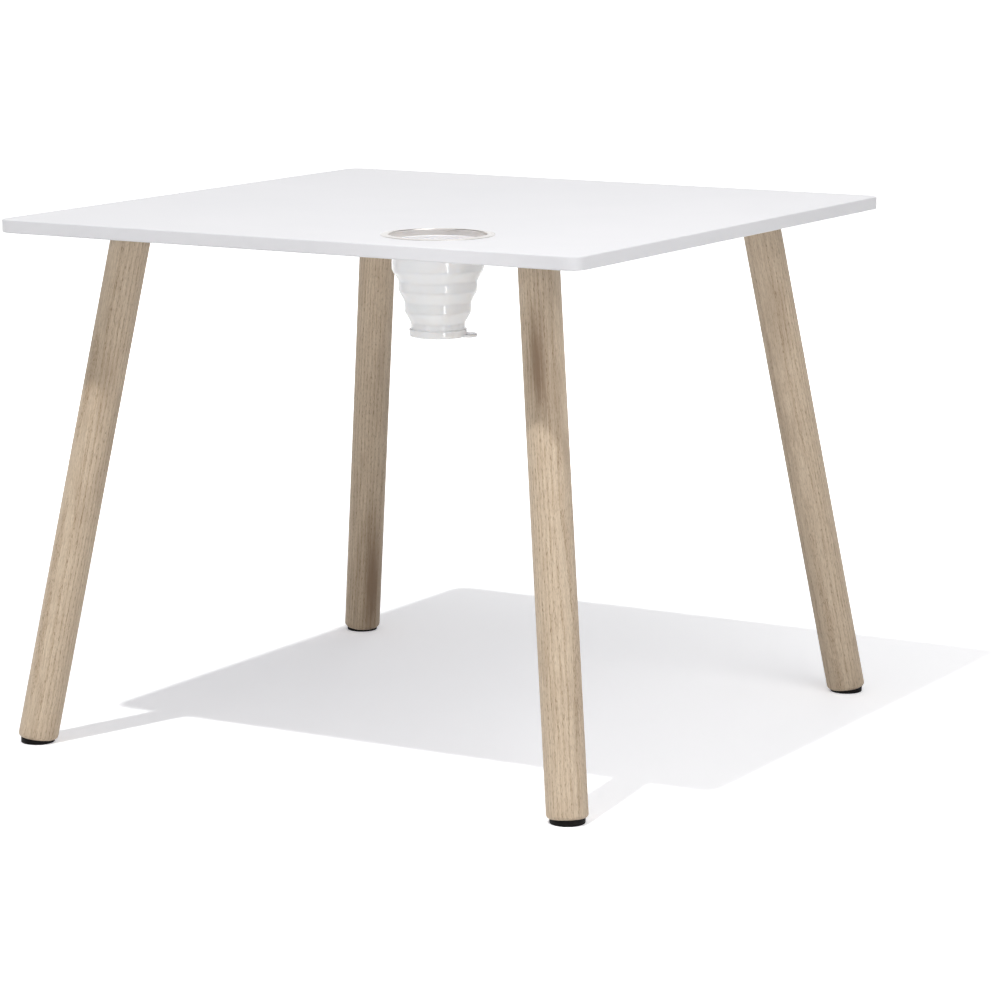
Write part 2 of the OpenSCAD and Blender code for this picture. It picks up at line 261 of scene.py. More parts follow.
@dataclass(frozen=True)
class SprayedLacquer(CloudyFinish):
    """White lacquer sprayed on a smooth board: an even satin with a faint orange peel.

    The peel keeps reflections soft, and the coat lies a little thicker in some places than others.
    """

    cloud_colour: str = "#E4E4E7"
    cloud: float = 140 * MM
    cloud_detail: int = 3
    grain: float = 2.4 * MM
    grain_depth: float = 0.012 * MM
    grain_strength: float = 0.6
    gloss_swing: Range | None = (-0.03, 0.03)


@dataclass(frozen=True)
class ZincPlate(CloudyFinish):
    """Pressed steel plated with bright zinc: a cool grey whose gloss is cloudy, with a few dull spots."""

    cloud_colour: str = "#9DA0A4"
    cloud: float = 9 * MM
    cloud_detail: int = 4
    grain: float = 0.9 * MM
    gloss_ends: Range = (0.3, 0.7)
    gloss_swing: Range | None = (-0.08, 0.14)


@dataclass(frozen=True)
class MouldedGlide(CloudyFinish):
    """Black polyamide moulded in a spark-eroded tool: nearly black, with a fine matt grain.

    The grain is about 0.15 mm and is drawn at 0.4 mm, and scuffs from the floor are a little paler.
    """

    cloud_colour: str = "#1C1A19"
    cloud: float = 6 * MM
    cloud_detail: int = 5
    cloud_ends: Range = (0.5, 0.75)
    grain: float = 0.4 * MM
    grain_detail: int = 1
    grain_depth: float = 0.02 * MM
    grain_strength: float = 0.6
    reflection: float = 0.12

    def pattern(self, tree: Tree) -> dict[str, Any]:
        """Adds the scuffs and the grain, and weakens the gloss."""
        return super().pattern(tree) | {"Specular IOR Level": self.reflection}


@dataclass(frozen=True)
class MouldedSilicone(CloudyFinish):
    """Silicone rubber, moulded without pigment: milky, with a soft satin skin that light sinks into."""

    cloud_colour: str = "#F9F7FC"
    cloud: float = 18 * MM
    grain: float = 1.2 * MM
    grain_depth: float = 0.008 * MM
    depth: float = 0.5 * MM
    sink: Triple = (1.0, 0.95, 0.9)

    def pattern(self, tree: Tree) -> dict[str, Any]:
        """Adds the clouds and the satin skin, and lets light sink in."""
        sunk = {"Subsurface Weight": 1.0, "Subsurface Radius": self.sink, "Subsurface Scale": self.depth}
        return super().pattern(tree) | sunk


@dataclass(frozen=True)
class OiledOak(Finish):
    """Oak turned to a rod, sanded and rubbed with white oil: pale, matt, with open straight pores.

    Oak is ring-porous, so each year starts with a row of pores, which read as short dark dashes along
    the grain. The rod cuts the rings at a slant, which draws long flames on two of its sides. A pore
    is about 0.3 mm wide, too fine to show here, so it is drawn 0.6 mm wide. The finish's colour is
    the palest wood. Each dark streak has its middle in the timber, its width and its length. They are
    painted shade where the board shades the legs: on the front right leg's top it deepens heartwood,
    low on the back left leg it is painted shade alone.
    """

    dark: str = "#B59B7E"
    pore: str = "#8A7157"
    # Tone of the heartwood, also used for the streaks of painted shade
    heart_and_shade_tone: str = "#876D55"
    ring: float = 3.4 * MM
    ring_slope: float = 0.012
    pith: tuple[float, float] = (46 * MM, 21 * MM)
    wander: float = 9 * MM
    bend: float = 34 * MM
    bend_slope: float = 0.16
    bend_detail: int = 2
    bend_roughness: float = 0.45
    early_ends: Range = (0.1, 0.55)
    early_depth: float = 0.24
    grain_detail: int = 3
    grain_roughness: float = 0.55
    fibre_width: float = 0.9 * MM
    fibre_length: float = 20 * MM
    fibre_ends: Range = (0.3, 0.7)
    fibre_depth: float = 0.58
    heart_width: float = 24 * MM
    heart_length: float = 110 * MM
    heart_ends: Range = (0.5, 0.72)
    heart_depth: float = 0.28
    # Streaks of painted shade, placed where the board shades the front right and the back left leg
    streaks: tuple[tuple[Triple, float, float], ...] = (
        ((30 * MM, 20 * MM, 806 * MM), 14 * MM, 76 * MM),
        ((22 * MM, 88 * MM, 2275 * MM), 24 * MM, 120 * MM),
    )
    streak_depth: float = 0.9
    streak_rag: float = 1.2
    streak_fibre: float = 0.25
    streak_ends: Range = (0.6, 1.6)
    pore_width: float = 0.6 * MM
    pore_length: float = 4 * MM
    pore_ends: Range = (0.5, 0.66)
    pore_share: Range = (0.35, 0.8)
    pore_depth: float = 0.12 * MM
    pore_strength: float = 0.5
    pore_dullness: float = 0.2
    edge_sheen: float = 0.12

    def along_grain(self, tree: Tree, width: float, length: float) -> Node:
        """Adds noise whose marks lie along the grain.

        Args:
            tree: The material's tree.
            width: How wide a mark is.
            length: How long it is.

        Returns:
            The noise, from 0 to 1.
        """
        place = add_node(tree, "ShaderNodeAttribute", attribute_name=TIMBER).outputs["Vector"]
        drawn = add_node(tree, "ShaderNodeMapping", {"Vector": place, "Scale": (1, 1, width / length)})
        inputs = {"Vector": drawn, "Scale": 1 / width}
        inputs |= {"Detail": self.grain_detail, "Roughness": self.grain_roughness}
        return add_node(tree, "ShaderNodeTexNoise", inputs)

    def year(self, tree: Tree) -> Node:
        """Adds the growth rings, which bend slowly along the rod.

        Args:
            tree: The material's tree.

        Returns:
            How far through its year the wood is: 0 at the row of pores, nearly 1 in the late wood.
        """
        place = add_node(tree, "ShaderNodeAttribute", attribute_name=TIMBER).outputs["Vector"]
        slow = add_node(tree, "ShaderNodeMapping", {"Vector": place, "Scale": (1, 1, self.bend_slope)})
        inputs = {"Vector": slow, "Scale": 1 / self.bend}
        inputs |= {"Detail": self.bend_detail, "Roughness": self.bend_roughness}
        bend = add_node(tree, "ShaderNodeTexNoise", inputs).outputs["Color"]
        inputs = {0: bend, 1: (self.wander, self.wander, 0), 2: (*self.pith, 0)}
        shift = add_node(tree, "ShaderNodeVectorMath", inputs, operation="MULTIPLY_ADD")
        bent = add_node(tree, "ShaderNodeVectorMath", {0: place, 1: shift}, operation="ADD")
        inputs = {0: bent, 1: (1, 1, self.ring_slope)}
        flat = add_node(tree, "ShaderNodeVectorMath", inputs, operation="MULTIPLY")
        reach = add_node(tree, "ShaderNodeVectorMath", {0: flat}, operation="LENGTH")
        years = add_node(tree, "ShaderNodeMath", {0: reach, 1: self.ring}, operation="DIVIDE")
        return add_node(tree, "ShaderNodeMath", {0: years}, operation="FRACT")

    def heartwood_and_shade_streak(self, tree: Tree, centre: Triple, width: float, length: float) -> Node:
        """Adds one dark streak with ragged edges: painted shade, over heartwood on the front right leg.

        Args:
            tree: The material's tree.
            centre: Its middle in the timber.
            width: How wide it is.
            length: How long it is.

        Returns:
            How dark the wood is, from 0 to 1.
        """
        place = add_node(tree, "ShaderNodeAttribute", attribute_name=TIMBER).outputs["Vector"]
        away = add_node(tree, "ShaderNodeVectorMath", {0: place, 1: centre}, operation="SUBTRACT")
        inputs = {0: away, 1: (1, 1, width / length)}
        drawn = add_node(tree, "ShaderNodeVectorMath", inputs, operation="MULTIPLY")
        reach = add_node(tree, "ShaderNodeVectorMath", {0: drawn}, operation="LENGTH")
        fibre = self.along_grain(tree, width * self.streak_fibre, length)
        inputs = {0: fibre, 1: width * self.streak_rag, 2: reach}
        ragged = add_node(tree, "ShaderNodeMath", inputs, operation="MULTIPLY_ADD")
        ends = (width * self.streak_ends[0], width * self.streak_ends[1])
        inputs = {"Value": ragged} | span("From", ends) | span("To", (self.streak_depth, 0.0))
        return add_node(tree, "ShaderNodeMapRange", inputs, **SMOOTH)

    def stain_and_painted_shade(self, tree: Tree) -> Node:
        """Adds the faint drift of heartwood and the dark streaks of painted shade.

        Args:
            tree: The material's tree.

        Returns:
            How dark the wood is, from 0 to 1.
        """
        drift = self.along_grain(tree, self.heart_width, self.heart_length)
        inputs = {"Value": drift} | span("From", self.heart_ends) | span("To", (0.0, self.heart_depth))
        stain_and_painted_shade = add_node(tree, "ShaderNodeMapRange", inputs, **SMOOTH)
        for centre, width, length in self.streaks:
            streak = self.heartwood_and_shade_streak(tree, centre, width, length)
            stain_and_painted_shade = add_node(tree, "ShaderNodeMath", {0: stain_and_painted_shade, 1: streak}, operation="MAXIMUM")
        return stain_and_painted_shade

    def pattern(self, tree: Tree) -> dict[str, Any]:
        """Adds the rings, the fibres, the heartwood, the painted shade and the pores.

        Args:
            tree: The material's tree.

        Returns:
            The colour, roughness, relief and sheen.
        """
        inputs = {"Value": self.year(tree)} | span("From", self.early_ends) | span("To", (1.0, 0.0))
        early = add_node(tree, "ShaderNodeMapRange", inputs, **SMOOTH)
        fibre = self.along_grain(tree, self.fibre_width, self.fibre_length)
        fibre = add_node(tree, "ShaderNodeMapRange", {"Value": fibre} | span("From", self.fibre_ends))
        shade = add_node(tree, "ShaderNodeMath", {0: early, 1: self.early_depth}, operation="MULTIPLY")
        inputs = {0: fibre, 1: self.fibre_depth, 2: shade}
        depth = add_node(tree, "ShaderNodeMath", inputs, operation="MULTIPLY_ADD")
        dash = self.along_grain(tree, self.pore_width, self.pore_length)
        inputs = {"Value": dash} | span("From", self.pore_ends)
        dash = add_node(tree, "ShaderNodeMapRange", inputs, **SMOOTH)
        in_row = add_node(tree, "ShaderNodeMapRange", {"Value": early} | span("To", self.pore_share))
        pore = add_node(tree, "ShaderNodeMath", {0: dash, 1: in_row}, operation="MULTIPLY")
        colour = linear(self.colour)
        # The second mix paints the heartwood and the streaks of painted shade
        for factor, tone in ((depth, self.dark), (self.stain_and_painted_shade(tree), self.heart_and_shade_tone), (pore, self.pore)):
            mixed = {"Factor": factor, "A": colour, "B": linear(tone)}
            colour = add_node(tree, "ShaderNodeMix", mixed, data_type="RGBA")
        rough = {"Value": pore} | span("To", (self.roughness, self.roughness + self.pore_dullness))
        relief = {"Height": pore, "Strength": self.pore_strength, "Distance": self.pore_depth}
        return {
            "Base Color": colour,
            "Roughness": add_node(tree, "ShaderNodeMapRange", rough),
            "Normal": add_node(tree, "ShaderNodeBump", relief, invert=True),
            "Sheen Weight": self.edge_sheen,
        }


@dataclass(frozen=True)
class SpunSteel(Finish):
    """Stainless steel spun on a lathe: a polished lip and flange over a satin throat, with faint rings.

    The rings are about 0.05 mm apart on the real rim and are drawn 0.35 mm apart, so that they show.
    """

    axis: Triple = (0, 0, 0)
    throat_roughness: float = 0.35
    throat_ends: Range = (-1.2 * MM, 0.2 * MM)
    mark: float = 0.35 * MM
    mark_detail: int = 2
    mark_depth: float = 0.004 * MM
    mark_strength: float = 0.4
    mark_dullness: float = 0.1

    def pattern(self, tree: Tree) -> dict[str, Any]:
        """Adds the wheel's rings round the rim's axis.

        Args:
            tree: The material's tree.

        Returns:
            The roughness and the relief.
        """
        place = add_node(tree, "ShaderNodeTexCoord").outputs["Object"]
        centred = add_node(tree, "ShaderNodeVectorMath", {0: place, 1: self.axis}, operation="SUBTRACT")
        height = add_node(tree, "ShaderNodeSeparateXYZ", {"Vector": centred}).outputs["Z"]
        flat = add_node(tree, "ShaderNodeVectorMath", {0: centred, 1: (1, 1, 0)}, operation="MULTIPLY")
        reach = add_node(tree, "ShaderNodeVectorMath", {0: flat}, operation="LENGTH")
        across = add_node(tree, "ShaderNodeMath", {0: reach, 1: height}, operation="SUBTRACT")
        noise = {"W": across, "Scale": 1 / self.mark, "Detail": self.mark_detail}
        rings = add_node(tree, "ShaderNodeTexNoise", noise, noise_dimensions="1D")
        inputs = {"Value": height} | span("To", (self.throat_roughness, self.roughness))
        satin = add_node(tree, "ShaderNodeMapRange", inputs | span("From", self.throat_ends))
        rough = {0: rings, 1: self.mark_dullness, 2: satin}
        relief = {"Height": rings, "Strength": self.mark_strength, "Distance": self.mark_depth}
        return {
            "Roughness": add_node(tree, "ShaderNodeMath", rough, operation="MULTIPLY_ADD"),
            "Normal": add_node(tree, "ShaderNodeBump", relief),
        }


@dataclass(frozen=True)
class PaperFloor(Finish):
    """Matt white background paper: it shows white where a lamp reaches it, and keeps a pale shadow.

    Its glow is weaker near the table, where the shadow has to show. From below the paper is clear, so
    that the underside of the table can be looked at.
    """

    shown_colour: str = "#FFFFFF"
    near_glow: str = "#8B8B8F"
    far_glow: str = "#FFFFFF"
    middle: Triple = (-150 * MM, -60 * MM, 0.0)
    glow_ends: Range = (60 * MM, 2100 * MM)

    def pattern(self, tree: Tree) -> dict[str, Any]:
        """Adds the whiter colour and the glow that the camera and the metal see.

        Args:
            tree: The material's tree.

        Returns:
            The colour and the glow, without gloss.
        """
        path = add_node(tree, "ShaderNodeLightPath").outputs
        rays = {0: path["Is Camera Ray"], 1: path["Is Glossy Ray"]}
        seen = add_node(tree, "ShaderNodeMath", rays, operation="MAXIMUM")
        tones = {"Factor": seen, "A": linear(self.colour), "B": linear(self.shown_colour)}
        place = add_node(tree, "ShaderNodeTexCoord").outputs["Object"]
        reach = add_node(tree, "ShaderNodeVectorMath", {0: place, 1: self.middle}, operation="DISTANCE")
        inputs = {"Value": reach} | span("From", self.glow_ends)
        away = add_node(tree, "ShaderNodeMapRange", inputs, **SMOOTH)
        inputs = {"Factor": away, "A": linear(self.near_glow), "B": linear(self.far_glow)}
        white = add_node(tree, "ShaderNodeMix", inputs, data_type="RGBA")
        glow = {"Factor": seen, "A": linear("#000000"), "B": white}
        return {
            "Base Color": add_node(tree, "ShaderNodeMix", tones, data_type="RGBA"),
            "Emission Color": add_node(tree, "ShaderNodeMix", glow, data_type="RGBA"),
            "Emission Strength": 1.0,
            "Specular IOR Level": 0.0,
        }

    def surface(self, tree: Tree, shader: Node) -> Node:
        """Makes the paper clear from below.

        Args:
            tree: The material's tree.
            shader: The Principled shader in it.

        Returns:
            The two sides mixed.
        """
        under = add_node(tree, "ShaderNodeNewGeometry").outputs["Backfacing"]
        clear = add_node(tree, "ShaderNodeBsdfTransparent")
        return add_node(tree, "ShaderNodeMixShader", {0: under, 1: shader, 2: clear})


# Geometry Nodes


class Input(Enum):
    """Kinds of named input that a Geometry Nodes tree here takes."""

    NUMBER = "NodeSocketFloat"
    COUNT = "NodeSocketInt"
    VECTOR = "NodeSocketVector"
    MATERIAL = "NodeSocketMaterial"


# Inputs of every tree that makes a piece
PIECE_INPUTS = {"Steps": Input.COUNT, "Place": Input.VECTOR, "Turn": Input.VECTOR, "Material": Input.MATERIAL}


def new_tree(name: str, inputs: Mapping[str, Input]) -> tuple[Tree, Outputs]:
    """Starts a Geometry Nodes tree with geometry in and out and the named inputs.

    Args:
        name: The tree's name.
        inputs: Each input's name and kind.

    Returns:
        The tree and the outputs of its input node.
    """
    tree = bpy.data.node_groups.new(name, "GeometryNodeTree")
    for side in ("INPUT", "OUTPUT"):
        tree.interface.new_socket("Geometry", in_out=side, socket_type="NodeSocketGeometry")
    for label, kind in inputs.items():
        tree.interface.new_socket(label, in_out="INPUT", socket_type=kind.value)
    return tree, add_node(tree, "NodeGroupInput").outputs


@cache
def turning_tree() -> Tree:
    """Builds the tree that turns a half section, a line of points in XZ, round the Z axis.

    Returns:
        The tree, which has one input, Steps, the facets in a full turn.
    """
    tree, given = new_tree("turn_half_section", {"Steps": Input.COUNT})
    line = given["Geometry"]
    place = add_node(tree, "GeometryNodeInputPosition")
    rows = add_node(tree, "GeometryNodeAttributeDomainSize", {"Geometry": line}).outputs["Point Count"]
    columns = add_node(tree, "ShaderNodeMath", {0: given["Steps"], 1: 1.0}, operation="ADD")
    last_row = add_node(tree, "ShaderNodeMath", {0: rows, 1: 1.0}, operation="SUBTRACT")
    # The grid's side is 1 and its middle is at 0: its X becomes the angle, and its Y the row
    size = {"Size X": 1.0, "Size Y": 1.0, "Vertices X": columns, "Vertices Y": rows}
    grid = add_node(tree, "GeometryNodeMeshGrid", size)
    spot = add_node(tree, "ShaderNodeSeparateXYZ", {"Vector": place}).outputs
    inputs = {0: spot["X"], 1: math.tau, 2: math.pi}
    angle = add_node(tree, "ShaderNodeMath", inputs, operation="MULTIPLY_ADD")
    share = add_node(tree, "ShaderNodeMath", {0: spot["Y"], 1: 0.5}, operation="ADD")
    row = add_node(tree, "ShaderNodeMath", {0: share, 1: last_row}, operation="MULTIPLY")
    number = add_node(tree, "FunctionNodeFloatToInt", {"Float": row}, rounding_mode="ROUND")
    sample = add_node(tree, "GeometryNodeSampleIndex", data_type="FLOAT_VECTOR", domain="POINT")
    plug(tree, sample, {"Geometry": line, "Value": place, "Index": number})
    inputs = {"Vector": sample, "Angle": angle}
    turned = add_node(tree, "ShaderNodeVectorRotate", inputs, rotation_type="Z_AXIS")
    moved = add_node(tree, "GeometryNodeSetPosition", {"Geometry": grid, "Position": turned})
    inputs = {"Geometry": moved, "Distance": MERGE_DISTANCE}
    closed = add_node(tree, "GeometryNodeMergeByDistance", inputs)
    add_node(tree, "NodeGroupOutput", {"Geometry": closed})
    return tree


def turned_in(tree: Tree, given: Outputs) -> Node:
    """Adds the turning tree, with the half section and Steps from the inputs of another tree."""
    turned = {name: given[name] for name in ("Geometry", "Steps")}
    return add_node(tree, "GeometryNodeGroup", turned, node_tree=turning_tree())


def placed(tree: Tree, mesh: Node, given: Outputs) -> Tree:
    """Ends a tree: turns and moves the mesh to its place and gives it its material.

    Args:
        tree: The tree.
        mesh: The node that gives the mesh at the origin.
        given: The tree's inputs, with Turn, Place and Material.

    Returns:
        The tree.
    """
    turn = add_node(tree, "FunctionNodeEulerToRotation", {"Euler": given["Turn"]})
    inputs = {"Geometry": mesh, "Translation": given["Place"], "Rotation": turn}
    moved = add_node(tree, "GeometryNodeTransform", inputs)
    real = add_node(tree, "GeometryNodeRealizeInstances", {"Geometry": moved})
    inputs = {"Geometry": real, "Material": given["Material"]}
    dressed = add_node(tree, "GeometryNodeSetMaterial", inputs)
    add_node(tree, "NodeGroupOutput", {"Geometry": dressed})
    return tree


@cache
def ring_tree() -> Tree:
    """Builds the tree for a piece that is round, such as the steel rim or a band of the cup."""
    tree, given = new_tree("turned_ring", PIECE_INPUTS)
    return placed(tree, turned_in(tree, given), given)


@cache
def leg_tree() -> Tree:
    """Builds the tree for a leg: a turned rod whose lower end is cut at a slant.

    The place of each point in the rod is stored for the oak's grain, moved by Figure so that each leg
    comes from another part of the tree.

    Returns:
        The tree.
    """
    own = {"Length": Input.NUMBER, "Slant": Input.NUMBER, "Figure": Input.VECTOR}
    tree, given = new_tree("turned_leg", PIECE_INPUTS | own)
    place = add_node(tree, "GeometryNodeInputPosition")
    spot = add_node(tree, "ShaderNodeSeparateXYZ", {"Vector": place}).outputs
    share = add_node(tree, "ShaderNodeMath", {0: spot["Z"], 1: given["Length"]}, operation="DIVIDE")
    reach = add_node(tree, "ShaderNodeMath", {0: spot["X"], 1: given["Slant"]}, operation="MULTIPLY")
    drop = add_node(tree, "ShaderNodeMath", {0: share, 1: reach}, operation="MULTIPLY")
    offset = add_node(tree, "ShaderNodeCombineXYZ", {"Z": drop})
    inputs = {"Geometry": turned_in(tree, given), "Offset": offset}
    cut = add_node(tree, "GeometryNodeSetPosition", inputs)
    inputs = {0: place, 1: given["Figure"]}
    figure = add_node(tree, "ShaderNodeVectorMath", inputs, operation="ADD")
    kept = add_node(
        tree, "GeometryNodeStoreNamedAttribute", {"Name": TIMBER}, data_type="FLOAT_VECTOR", domain="POINT"
    )
    plug(tree, kept, {"Geometry": cut, "Value": figure})
    return placed(tree, kept, given)


@cache
def screw_tree() -> Tree:
    """Builds the tree for a ring of equal screws whose heads have a tapered cross recess.

    Returns:
        The tree.
    """
    own = {"Count": Input.COUNT}
    own |= dict.fromkeys(("Circle", "First", "Recess Width", "Recess Depth"), Input.NUMBER)
    tree, given = new_tree("ring_of_screws", PIECE_INPUTS | own)
    width = given["Recess Width"]
    half = add_node(tree, "ShaderNodeMath", {0: width, 1: 0.5}, operation="MULTIPLY")
    tip = add_node(tree, "ShaderNodeMath", {0: width, 1: BLADE_TIP}, operation="MULTIPLY")
    inputs = {"Vertices": 4, "Radius Bottom": half, "Radius Top": tip, "Depth": given["Recess Depth"]}
    blade = add_node(tree, "GeometryNodeMeshCone", inputs)
    inputs = {"Geometry": blade, "Translation": (0, 0, -BLADE_START), "Scale": (1, BLADE_THICKNESS, 1)}
    thin = add_node(tree, "GeometryNodeTransform", inputs)
    cross = add_node(tree, "GeometryNodeMeshBoolean", operation="UNION", solver="EXACT")
    for quarter in (0.0, math.pi / 2):
        turned = {"Geometry": thin, "Rotation": (0, 0, quarter)}
        plug(tree, cross, {"Mesh 2": add_node(tree, "GeometryNodeTransform", turned)})
    inputs = {"Mesh 1": turned_in(tree, given), "Mesh 2": cross}
    driven = add_node(tree, "GeometryNodeMeshBoolean", inputs, operation="DIFFERENCE", solver="EXACT")
    number = add_node(tree, "GeometryNodeInputIndex")
    pitch = add_node(tree, "ShaderNodeMath", {0: math.tau, 1: given["Count"]}, operation="DIVIDE")
    inputs = {0: number, 1: pitch, 2: given["First"]}
    angle = add_node(tree, "ShaderNodeMath", inputs, operation="MULTIPLY_ADD")
    out = add_node(tree, "ShaderNodeCombineXYZ", {"X": given["Circle"]})
    inputs = {"Vector": out, "Angle": angle}
    spot = add_node(tree, "ShaderNodeVectorRotate", inputs, rotation_type="Z_AXIS")
    points = add_node(tree, "GeometryNodePoints", {"Count": given["Count"], "Position": spot})
    faced = add_node(tree, "FunctionNodeRandomValue", data_type="FLOAT_VECTOR")
    plug(tree, faced, {"Min": (0, 0, 0), "Max": (0, 0, math.tau), "Seed": SCREW_SEED})
    ring = {"Points": points, "Instance": driven, "Rotation": faced}
    return placed(tree, add_node(tree, "GeometryNodeInstanceOnPoints", ring), given)


# Pieces


def in_scene(name: str, data: bpy.types.ID) -> Piece:
    """Makes an object and links it to the scene.

    Args:
        name: Its name.
        data: Its mesh, lamp or camera.

    Returns:
        The object.
    """
    made = bpy.data.objects.new(name, data)
    bpy.context.scene.collection.objects.link(made)
    return made


def made_piece(name: str, section: Sequence[Point], tree: Tree, values: Mapping[str, Any]) -> Piece:
    """Runs a Geometry Nodes tree on a half section and keeps the plain mesh that comes out.

    Args:
        name: The piece's name.
        section: Radius and height of each point of the half section.
        tree: The tree.
        values: The tree's named inputs.

    Returns:
        The piece, at the origin, with its place in its mesh.
    """
    line = bpy.data.meshes.new(name)
    line.from_pydata([(r, 0, z) for r, z in section], [(i, i + 1) for i in range(len(section) - 1)], [])
    piece = in_scene(name, line)
    modifier = piece.modifiers.new("shape", "NODES")
    modifier.node_group = tree
    for item in tree.interface.items_tree:
        if item.in_out == "INPUT" and item.name in values:
            modifier[item.identifier] = values[item.name]
    keep_evaluated(piece)
    return piece


def keep_evaluated(piece: Piece) -> None:
    """Turns what a piece's modifiers make into its plain mesh, with outward faces and sharp edges kept.

    Args:
        piece: The piece, whose modifiers are removed.
    """
    shown = piece.evaluated_get(bpy.context.evaluated_depsgraph_get())
    mesh = bpy.data.meshes.new_from_object(shown)
    piece.modifiers.clear()
    shape = bmesh.new()
    shape.from_mesh(mesh)
    bmesh.ops.dissolve_degenerate(shape, edges=shape.edges, dist=MERGE_DISTANCE)
    bmesh.ops.recalc_face_normals(shape, faces=shape.faces)
    shape.to_mesh(mesh)
    shape.free()
    mesh.shade_smooth()
    mesh.set_sharp_from_angle(angle=SHARP_ANGLE)
    mesh.name = piece.name
    piece.data = mesh


def finished(name: str, shape: bmesh.types.BMesh, finish: Finish) -> Piece:
    """Makes a piece of a built shape, and frees the shape.

    Args:
        name: The piece's name.
        shape: Its shape.
        finish: Its finish.

    Returns:
        The piece.
    """
    mesh = bpy.data.meshes.new(name)
    shape.to_mesh(mesh)
    shape.free()
    mesh.materials.append(finish.material())
    return in_scene(name, mesh)


def arc(centre: Point, radius: float, start: float, end: float, steps: int) -> list[Point]:
    """Gives the points of an arc of a half section, between angles in degrees, 0 outwards and 90 up."""
    angles = [math.radians(start + (end - start) * i / steps) for i in range(steps + 1)]
    return [(centre[0] + radius * math.cos(a), centre[1] + radius * math.sin(a)) for a in angles]


class Slot(Enum):
    """The record's material slots for the new pieces; nothing in the script reads them."""

    OAK = "oak"
    ZINC = "zinc_steel"
    STEEL = "polished_steel"
    SILICONE = "silicone"


def stand_in(piece: Piece, node: str) -> None:
    """Puts a finished piece in a CAD node's place, on that node's body.

    Args:
        piece: The finished piece.
        node: The CAD node that it stands for.
    """
    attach(piece, frame["nodes"][node]["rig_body"])
    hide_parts(node)
    LOG.info("%s stands for %s, %d faces", piece.name, node, len(piece.data.polygons))


def dress(node: str, finish: Finish) -> None:
    """Gives a CAD node that stays its finish.

    Args:
        node: The CAD node.
        finish: Its finish.
    """
    mesh = frame["nodes"][node].data
    mesh.materials.clear()
    mesh.materials.append(finish.material())
    LOG.info("%s is finished in %s", node, finish.name)


# The table's finishes

LACQUER = SprayedLacquer("white_sprayed_lacquer", "#E9E8EB", 0.42)
OAK = OiledOak("white_oiled_turned_oak", "#E1CFB7", 0.62)
ZINC = ZincPlate("bright_zinc_plated_steel", "#B4B7BB", 0.34, metallic=1.0)
PLASTIC = MouldedGlide("black_moulded_polyamide", "#0F0D0D", 0.62)
SILICONE = MouldedSilicone("milky_moulded_silicone", "#FDFBFF", 0.12, ior=1.41)


# Sub-assemblies


@dataclass
class Board:
    """The white board with the hole for the cup."""

    node: str = "table_top"

    @property
    def corner(self) -> Vector:
        """The board's right-hand back corner, at its top face."""
        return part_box(self.node)[1]

    @property
    def under_z(self) -> float:
        """Height of the board's underside."""
        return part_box(self.node)[0].z

    def build(self) -> None:
        """Dresses the board."""
        dress(self.node, LACQUER)


class Corner(Enum):
    """The corners of the table: the sides of the board that each is at."""

    FRONT_LEFT = (-1, -1)
    FRONT_RIGHT = (1, -1)
    BACK_RIGHT = (1, 1)
    BACK_LEFT = (-1, 1)

    def node(self, stem: str) -> str:
        """Names the CAD node of that stem at this corner."""
        return f"{stem}_{self.name.lower()}"


@dataclass
class Screw:
    """A countersunk screw with a cross recess, its head at z = 0 and its point upwards."""

    diameter: float
    head: float
    length: float
    recess_width: float
    recess_depth: float
    head_edge: float = 0.15 * MM
    taper: float = 0.9
    tip: Point = (0.2 * MM, 0.1 * MM)

    def section(self) -> list[Point]:
        """Gives the screw's half section, from the head's middle to its point.

        Returns:
            Radius and height of each point.
        """
        slope = (self.head - self.diameter) / 2
        return [
            (0, 0),
            (self.head / 2 - self.head_edge, 0),
            (self.head / 2, self.head_edge),
            (self.diameter / 2, self.head_edge + slope),
            (self.diameter / 2, self.length - self.diameter * self.taper),
            (self.tip[0], self.length - self.tip[1]),
            (0, self.length),
        ]

    def build(self, name: str, ring: tuple[int, float, float], place: Vector, turn: Euler) -> Piece:
        """Builds one mesh of equal screws on a circle.

        Args:
            name: The piece's name.
            ring: How many screws, the circle's radius and the first one's angle.
            place: Where the circle's centre is.
            turn: How its axis is turned.

        Returns:
            The piece.
        """
        values = dict(zip(("Count", "Circle", "First"), ring))
        values |= {"Recess Width": self.recess_width, "Recess Depth": self.recess_depth}
        values |= {"Steps": SCREW_STEPS, "Place": place, "Turn": turn, "Material": ZINC.material()}
        return made_piece(name, self.section(), screw_tree(), values)


